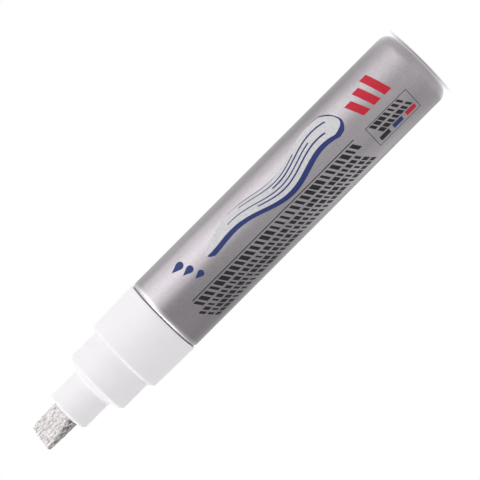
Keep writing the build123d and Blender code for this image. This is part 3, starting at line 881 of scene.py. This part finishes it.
class MARKER_OT_front(bpy.types.Operator):
    """Turns the white collar and the nib holder in front of it"""

    bl_idname = "marker.front"
    bl_label = "White front"

    def execute(self, context):
        s = context.scene.marker_sizes
        white = white_moulding(context.scene.marker_colours)
        socket = HEAD_RADIUS - s.spigot_step + s.seat_clearance
        self.collar(s, white, socket)
        self.holder(s, white, socket - s.seat_clearance)
        return {"FINISHED"}

    def collar(self, s, white, socket):
        """The ring in front of the lip, with its neck, its flange under the lip and its ledge."""
        clear = s.seat_clearance
        rear_radius = BARREL_RADIUS + s.collar_overhang
        front_radius = rear_radius - s.collar_draft
        recess = BARREL_TOP + s.collar_gap
        rear = recess - s.collar_skirt
        lip_side = s.lip_radius + rear - BARREL_TOP
        skirt = BARREL_RADIUS - s.lip_radius + math.sqrt(s.lip_radius**2 - lip_side**2) + s.collar_gap
        neck = BARREL_RADIUS - s.lip_radius - s.lip_flat - s.neck_clearance
        bore = BARREL_RADIUS - s.barrel_wall - clear
        flange_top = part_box("collar_gasket")[0].z
        flange_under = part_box("collar")[0].z
        ledge_top = SPIGOT_END - 2 * clear - s.bulkhead
        ledge_under = ledge_top - s.ledge_thickness
        ledge_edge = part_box("valve_cage")[1].x + s.ledge_gap
        corners = [
            (socket, COLLAR_FRONT),
            (front_radius, COLLAR_FRONT, s.collar_front_round),
            (rear_radius, rear, s.collar_rear_round),
            (skirt, rear),
            (skirt, recess),
            (neck, recess),
            (neck, flange_top),
            (bore, flange_top),
            (bore, flange_under),
            (neck - s.neck_wall, flange_under),
            (neck - s.neck_wall, ledge_under),
            (ledge_edge, ledge_under),
            (ledge_edge, ledge_top),
            (socket, ledge_top),
        ]
        ring = turned("collar_ring", rounded(corners), closed=True)
        show(ring, "barrel", white, ["collar"])

    def holder(self, s, white, spigot):
        """The nib holder: spigot, head, cone and nozzle, and the ribs that guide the nib in it."""
        head_top = COLLAR_FRONT + s.head_length
        guide_end = head_top - s.chamber_roof
        rim = NIB_RADIUS + s.nib_clearance
        rim_end = NOZZLE_TOP - s.nozzle_rim
        guide = rim + s.rib_height
        chamber = spigot - s.chamber_wall
        corners = [
            (rim, NOZZLE_TOP),
            (s.nozzle_radius, NOZZLE_TOP - s.nozzle_slope, s.nozzle_round),
            (s.nozzle_radius, head_top + s.cone_rise, s.root_fillet),
            (HEAD_RADIUS, head_top, s.head_round),
            (HEAD_RADIUS, COLLAR_FRONT),
            (spigot, COLLAR_FRONT),
            (spigot, SPIGOT_END),
            (chamber, SPIGOT_END),
            (chamber, guide_end),
            (guide, guide_end),
            (guide, rim_end),
            (rim, rim_end),
        ]
        body = turned("nib_holder_body", rounded(corners), closed=True)
        show(body, "barrel", white, ["nib_holder"])
        deep = s.rib_height + s.rib_root
        tall = rim_end - guide_end
        ribs = grown(
            "nib_guide_ribs",
            rib_tree(),
            count=s.rib_count,
            radius=rim + deep / 2,
            middle=(0, 0, guide_end + tall / 2),
            rib=(deep, s.rib_width, tall),
            material=white,
        )
        show(ribs, "barrel", None)


# The felt frays over this length past the nozzle, and more so by this share on the worn length at its edge
FRAY_START, WORN_LENGTH, EDGE_WEAR = 1.0 * MM, 2.5 * MM, 1.2
# Noise cells of the fraying in a metre, how much finer the second noise is, and what each of them moves
CELLS_ACROSS, CELLS_ALONG, FINER = 2600, 900, 3.1
COARSE_SHARE, FINE_SHARE, FRAY_INWARD = 0.7, 0.45, 0.25
# How much more the flats fray than the round sides, and how far the flats' colour fades into the sides'
# painted shade where a flat ends
FLAT_BIAS, SIDE_SHADE_FADE = 2.2, 0.6 * MM


class MARKER_OT_nib(bpy.types.Operator):
    """Grinds the felt rod to its chisel, frays its surface and scatters loose fibres on it"""

    bl_idname = "marker.nib"
    bl_label = "Felt nib"

    def execute(self, context):
        s = context.scene.marker_sizes
        felt = painted_felt(context.scene.marker_colours)
        nib = self.ground_rod(s)
        show(nib, "plunger", felt, ["nib"])
        fibres = grown(
            "nib_fibres",
            fibre_tree(),
            nib.data.copy(),
            density=s.fibre_density,
            length=s.fibre_length,
            thickness=s.fibre_radius,
            seed=5,
            material=felt,
        )
        show(fibres, "plunger", None)
        return {"FINISHED"}

    def ground_rod(self, s, around=200, along=150, crowding=1.6, corner_rings=5, edge_rings=6):
        """The rod's mesh: rings clipped by the two flats, ending in a worn skew edge."""
        half_edge = s.nib_edge / 2

        def ring(fall, inset):
            points = []
            for a in np.linspace(0, 2 * math.pi, around, endpoint=False):
                x = NIB_RADIUS * math.cos(a)
                top = NIB_TOP - math.tan(s.nib_skew) * (x + NIB_RADIUS)
                z = max(NIB_REAR, top - fall)
                half = half_edge + (NIB_TOP - z) * math.tan(s.nib_bevel)
                y = max(-half, min(half, NIB_RADIUS * math.sin(a)))
                points.append(Vector((x * (1 - inset / NIB_RADIUS), y * max(0.0, 1 - inset / half), z)))
            return points

        rings = []
        for k in range(along + 1):
            share = (1 - k / along) ** crowding
            rings.append(ring(s.nib_round + share * (NIB_TOP - NIB_REAR - s.nib_round), 0.0))
        for k in range(1, corner_rings + 1):
            turn = math.pi / 2 * k / corner_rings
            rings.append(ring(s.nib_round * (1 - math.sin(turn)), s.nib_round * (1 - math.cos(turn))))
        for k in range(1, edge_rings + 1):
            rings.append(ring(0.0, s.nib_round + (half_edge - s.nib_round) * k / edge_rings))
        verts = [self.frayed(p, s) for points in rings for p in points]
        faces = []
        for a in range(0, len(verts) - around, around):
            for i in range(around):
                j = (i + 1) % around
                faces.append((a + i, a + j, a + around + j, a + around + i))
        faces.append(tuple(reversed(range(around))))
        faces.append(tuple(range(len(verts) - around, len(verts))))
        mesh = meshed("felt_nib", verts, faces)
        # The paint mask separates the flats from the round sides, which get painted shade.
        paint = mesh.attributes.new("paint", "FLOAT", "POINT")
        paint.data.foreach_set("value", [self.painted(v.co, s) for v in mesh.vertices])
        return settled("felt_nib", mesh, sharp=math.radians(60))

    def painted(self, point, s):
        """The paint mask at a point: 1 on the ground flats, falling to 0 on the rod's round sides, which the
        felt finish darkens as painted shade.
        """
        half = s.nib_edge / 2 + (NIB_TOP - point.z) * math.tan(s.nib_bevel)
        end_of_flat = math.sqrt(max(0.0, NIB_RADIUS**2 - half**2))
        return max(0.0, min(1.0, 0.5 + (end_of_flat - abs(point.x)) / SIDE_SHADE_FADE))

    def frayed(self, point, s):
        """A point moved off the ground shape by the fibres, most at the worn edge and not in the holder."""
        outside = max(0.0, min(1.0, (point.z - NOZZLE_TOP) / FRAY_START))
        wear = 1 + EDGE_WEAR * max(0.0, 1 - (NIB_TOP - point.z) / WORN_LENGTH)
        place = Vector((point.x * CELLS_ACROSS, point.y * CELLS_ACROSS, point.z * CELLS_ALONG))
        coarse, fine = noise.noise(place), noise.noise(place * FINER)
        away = Vector((point.x, point.y * FLAT_BIAS, 0)).normalized() if point.length > 0 else Vector()
        fray = coarse * COARSE_SHARE + fine * FINE_SHARE - FRAY_INWARD
        return point + away * (s.fuzz * outside * wear * fray)


class MARKER_OT_print(bpy.types.Operator):
    """Prints the barrel: a sweep of paint and its shadow, slanted bars, drops, swatches, rules and dashes"""

    bl_idname = "marker.print"
    bl_label = "Barrel print"

    def execute(self, context):
        p = context.scene.marker_print
        c = context.scene.marker_colours
        red, blue = ink("ink_red", c.ink_red), ink("ink_blue", c.ink_blue)
        black, pale = ink("ink_black", c.ink_black), ink("ink_white", c.ink_white)
        shadows, sweep, bristles = (Artwork(coats * p.ink_lift) for coats in (1, 2, 3))
        bars, rules = Artwork(p.ink_lift), Artwork(p.ink_lift)
        self.sweep(p, shadows, sweep, bristles)
        self.drops(p, shadows)
        self.bars(p, bars)
        self.block(p, (bars, shadows, rules))
        rules.box(-p.rule_across - p.rule_width, -p.rule_across, *p.rule_ends)
        barrel = {"radius": BARREL_RADIUS, "facing": FACING}
        wrap = wrap_tree()
        for name, art, material in (
            ("print_shadows", shadows, blue),
            ("print_swoosh", sweep, pale),
            ("print_bristles", bristles, blue),
            ("print_bars", bars, red),
            ("print_rules", rules, black),
        ):
            mesh = meshed(name, art.verts, art.faces)
            show(grown(name, wrap, mesh, material=material, **barrel), "barrel")
        middle = sum(p.rule_ends) / 2
        dashes = dash_tree()
        for name, across, height, rows, columns, size, seed in (
            ("print_dashes_bold", p.bold_across, middle, 1, 32, p.bold_size, 4),
            ("print_dashes_front", p.small_across, middle, 3, 37, p.small_size, 3),
            ("print_dashes_tail", *p.tail_place, 2, 7, p.small_size, 8),
        ):
            row = grown(
                name,
                dashes,
                columns=columns,
                rows=rows,
                **dict(zip(("pitch", "length", "row_pitch", "width"), size)),
                shortest=p.shortest_dash,
                slant=p.dash_slant,
                middle=(-across, p.ink_lift, height),
                seed=seed,
                material=black,
                **barrel,
            )
            show(row, "barrel")
        return {"FINISHED"}

    def sweep(self, p, shadows, sweep, bristles):
        """The sweep of paint on its blue rim, with the bristles' lines in it."""
        place = (p.sweep_across, p.sweep_span, p.sweep_width)
        swoosh(shadows, place, grow=p.sweep_rim, shift=[-step for step in p.shadow_shift])
        swoosh(sweep, place)
        for edges, part in (
            ((-0.56, -0.42), (0.1, 0.62)),
            ((-0.16, -0.04), (0.2, 0.8)),
            ((0.24, 0.38), (0.06, 0.5)),
            ((0.58, 0.68), (0.3, 0.7)),
        ):
            swoosh(bristles, place, edges, part)

    def drops(self, p, art, rows=18):
        """Three drops of growing size in front of the sweep."""
        for k in range(3):
            across, along = (first + k * step for first, step in zip(p.drop_place, p.drop_step))
            art.convex(drop(across, along, p.drop_radius + k * p.drop_growth), rows)

    def bars(self, p, art, rows=56):
        """Three slanted bars, each shorter than the one before."""
        for k in range(3):
            low, run = p.bar_low + k * p.bar_pitch, p.bar_run - k * p.bar_loss
            high = low + p.bar_slant
            art.convex([(0, low), (run, high), (run, high + p.bar_width), (0, low + p.bar_width)], rows)

    def block(self, p, arts):
        """A thin frame near the tail with one swatch of each ink at its far edge."""
        near, far = (-side for side in p.block_sides)
        low, high = p.block_ends
        line = p.block_line
        rules = arts[-1]
        for left in (far, near - line):
            rules.box(left, left + line, low, high)
        for edge in (low, high - line):
            rules.box(far + line, near - line, edge, edge + line)
        inner = far + p.swatch_inset
        wide, long = p.swatch_size
        for k, art in enumerate(arts):
            start = low + p.swatch_inset + k * p.swatch_pitch
            art.box(inner, inner + wide, start, start + long)


class MARKER_OT_inside(bpy.types.Operator):
    """Finishes the pieces inside: gasket, valve, spring and mixing ball"""

    bl_idname = "marker.inside"
    bl_label = "Valve and ball"

    def execute(self, context):
        c = context.scene.marker_colours
        for material, nodes in (
            (seal_rubber(c), ("collar_gasket", "valve_washer")),
            (milky_plastic(c), ("valve_body", "valve_rod", "valve_poppet", "valve_cage")),
            (ball_steel(c), ("mixing_ball",)),
        ):
            for node in nodes:
                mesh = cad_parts[node].data
                mesh.materials.clear()
                mesh.materials.append(material)
        self.spring(context.scene.marker_sizes, drawn_steel(c))
        return {"FINISHED"}

    def spring(self, s, steel):
        """The coil between cage floor and poppet."""
        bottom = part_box("valve_cage")[0].z + s.cage_floor + s.seat_clearance
        spring = grown(
            "spring_coil",
            spring_tree(),
            open_turns=s.spring_open_turns,
            end_turns=s.spring_end_turns,
            end_pitch=s.spring_end_pitch,
            radius=s.spring_radius,
            wire=s.spring_wire,
            length=s.spring_length,
            bottom=bottom,
            material=steel,
        )
        spring.data.shade_smooth()
        show(spring, "barrel", None, ["valve_spring"])
        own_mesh(spring)


class MARKER_OT_stage(bpy.types.Operator):
    """Sets up the studio: pale floor, white surround, softboxes, reflectors and camera"""

    bl_idname = "marker.stage"
    bl_label = "Studio"

    def execute(self, context):
        scene, stage = context.scene, context.scene.marker_stage
        toward = Vector((math.sin(FACING), -math.cos(FACING), 0))
        beside = Vector((math.cos(FACING), math.sin(FACING), 0))
        self.floor(scene.marker_colours.paper, stage.floor_glow)
        self.surround(scene, stage.ambient)
        self.lamps(stage, toward, beside)
        self.camera(scene, stage, toward, beside)
        scene.view_settings.view_transform = "Standard"
        return {"FINISHED"}

    def floor(self, paper, glow, radii=(0.0, 0.2, 0.6, 3.0)):
        """A wide pale disc that takes the marker's shadow and looks white to the camera."""
        disc = turned("floor", [(radius, 0) for radius in radii], closed=False, segments=96)
        material, tree, shader = finish("paper")
        fibre = grain(tree, scale=40.0, detail=5.0)
        inputs = {
            "Base Color": ramp(tree, fibre, (0.3, rgba(paper, 0.99)), (0.7, rgba(paper, 1.01))),
            "Roughness": 0.95,
            "Specular IOR Level": 0.0,
            "Emission Color": (1, 1, 1, 1),
            "Emission Strength": self.seen(tree, glow),
        }
        feed(tree, shader, inputs)
        disc.data.materials.append(material)

    def seen(self, tree, strength, otherwise=0.0):
        """One strength for what camera, gloss and glass see, and another for the light on the marker."""
        rays = put(tree, "ShaderNodeLightPath").outputs
        glass = math_node(tree, "MAXIMUM", rays["Is Glossy Ray"], rays["Is Transmission Ray"])
        looked_at = math_node(tree, "MAXIMUM", rays["Is Camera Ray"], glass)
        return spread(tree, looked_at, otherwise, strength)

    def surround(self, scene, ambient):
        """White all round to the eye, and an even ambient light."""
        scene.world = bpy.data.worlds.new("studio")
        scene.world.use_nodes = True
        tree = scene.world.node_tree
        inputs = {"Color": (1, 1, 1, 1), "Strength": self.seen(tree, 1.0, ambient)}
        feed(tree, tree.nodes["Background"], inputs)

    def lamps(self, stage, toward, beside):
        """Softboxes beside and above the nib, and panels that the barrel and its lip reflect."""

        def at(turn, distance, height):
            level = toward * math.cos(turn) + beside * math.sin(turn)
            return level * distance + Vector((0, 0, height))

        front = Vector((0, 0, COLLAR_FRONT))
        tail = Vector((0, 0, stage.low_height))
        key = at(stage.key_angle, stage.key_distance, stage.key_height)
        self.softbox("softbox", stage.key_power, [stage.key_size] * 2, key, front)
        top = at(0, stage.top_lead, stage.top_height)
        self.softbox("top_softbox", stage.top_power, [stage.top_size] * 2, top, front)
        for name, watts, turn, width in (
            ("strip", stage.strip_power, stage.strip_angle, stage.strip_width),
            ("back_strip", stage.back_power, stage.back_angle, stage.back_width),
        ):
            place = at(turn, stage.key_distance, stage.strip_height)
            self.reflector(name, watts, (width, stage.strip_depth), place, front)
        glow = at(stage.strip_angle, stage.glow_offset, stage.glow_height)
        table = self.reflector("light_table", stage.glow_power, [stage.glow_size] * 2, glow, glow + front)
        table.data.shape = "ELLIPSE"
        level = stage.key_distance * math.cos(stage.canopy_rise)
        height = stage.key_distance * math.sin(stage.canopy_rise) + COLLAR_FRONT
        for k in (-1, 0, 1):
            turn = k * stage.canopy_spread
            place = at(turn, level, height)
            self.reflector(f"canopy_{k + 2}", stage.canopy_power, stage.canopy_size, place, front)
            place = at(stage.low_angle + turn, stage.low_distance, stage.low_height)
            self.reflector(f"low_panel_{k + 2}", stage.low_power, stage.low_size, place, tail)

    def softbox(self, name, watts, size, place, aim):
        """A rectangular lamp that faces a point."""
        lamp = bpy.data.lights.new(name, "AREA")
        lamp.shape = "RECTANGLE"
        lamp.size, lamp.size_y = size
        lamp.energy = watts
        obj = linked(name, lamp)
        obj.location = place
        obj.rotation_euler = (aim - place).to_track_quat("-Z", "Y").to_euler()
        obj.visible_camera = False
        return obj

    def reflector(self, *lamp):
        """A softbox that only gloss shows."""
        obj = self.softbox(*lamp)
        obj.visible_diffuse = False
        return obj

    def camera(self, scene, stage, toward, beside, picture=480, sensor=36.0):
        """The camera looks at the axis and is rolled, so that the nib points down to the left."""
        lens = bpy.data.cameras.new("camera")
        eye = toward * stage.camera_distance + Vector((0, 0, stage.camera_height))
        target = Vector((0, 0, stage.aim_height)) - beside * stage.aim_side
        forward = (target - eye).normalized()
        right = forward.cross(Vector((0, 0, 1))).normalized()
        up = right.cross(forward)
        x = right * math.cos(stage.roll) - up * math.sin(stage.roll)
        y = right * math.sin(stage.roll) + up * math.cos(stage.roll)
        lens.sensor_width = sensor
        lens.lens = stage.scale / MM * (target - eye).length * sensor / picture
        lens.clip_start = 10 * MM
        scene.camera = linked("camera", lens)
        scene.camera.matrix_world = Matrix.Translation(eye) @ Matrix((x, y, -forward)).transposed().to_4x4()


class MARKER_PT_panel(bpy.types.Panel):
    """Lists the marker's pieces, sizes, print, colours and studio"""

    bl_idname = "MARKER_PT_panel"
    bl_label = "Paint Marker"
    bl_space_type = "VIEW_3D"
    bl_region_type = "UI"
    bl_category = "Marker"

    def draw(self, context):
        for operator in PIECES:
            self.layout.operator(operator.bl_idname)
        for group in GROUPS:
            settings = getattr(context.scene, group)
            for name in settings.__annotations__:
                self.layout.prop(settings, name)


PIECES = (
    MARKER_OT_barrel,
    MARKER_OT_front,
    MARKER_OT_nib,
    MARKER_OT_print,
    MARKER_OT_inside,
    MARKER_OT_stage,
)
GROUPS = {
    "marker_sizes": MarkerSizes,
    "marker_print": MarkerPrint,
    "marker_colours": MarkerColours,
    "marker_stage": MarkerStage,
}
CLASSES = (*GROUPS.values(), *PIECES, MARKER_PT_panel)


def register():
    """Adds the classes and the scene's settings."""
    for cls in CLASSES:
        bpy.utils.register_class(cls)
    for name, group in GROUPS.items():
        setattr(bpy.types.Scene, name, bpy.props.PointerProperty(type=group))


def unregister():
    """Takes the settings and classes out again."""
    for name in GROUPS:
        delattr(bpy.types.Scene, name)
    for cls in reversed(CLASSES):
        bpy.utils.unregister_class(cls)


def main():
    """Builds every piece and the studio."""
    register()
    bpy.ops.marker.barrel()
    bpy.ops.marker.front()
    bpy.ops.marker.nib()
    bpy.ops.marker.print()
    bpy.ops.marker.inside()
    bpy.ops.marker.stage()


if __name__ == "__main__":
    main()
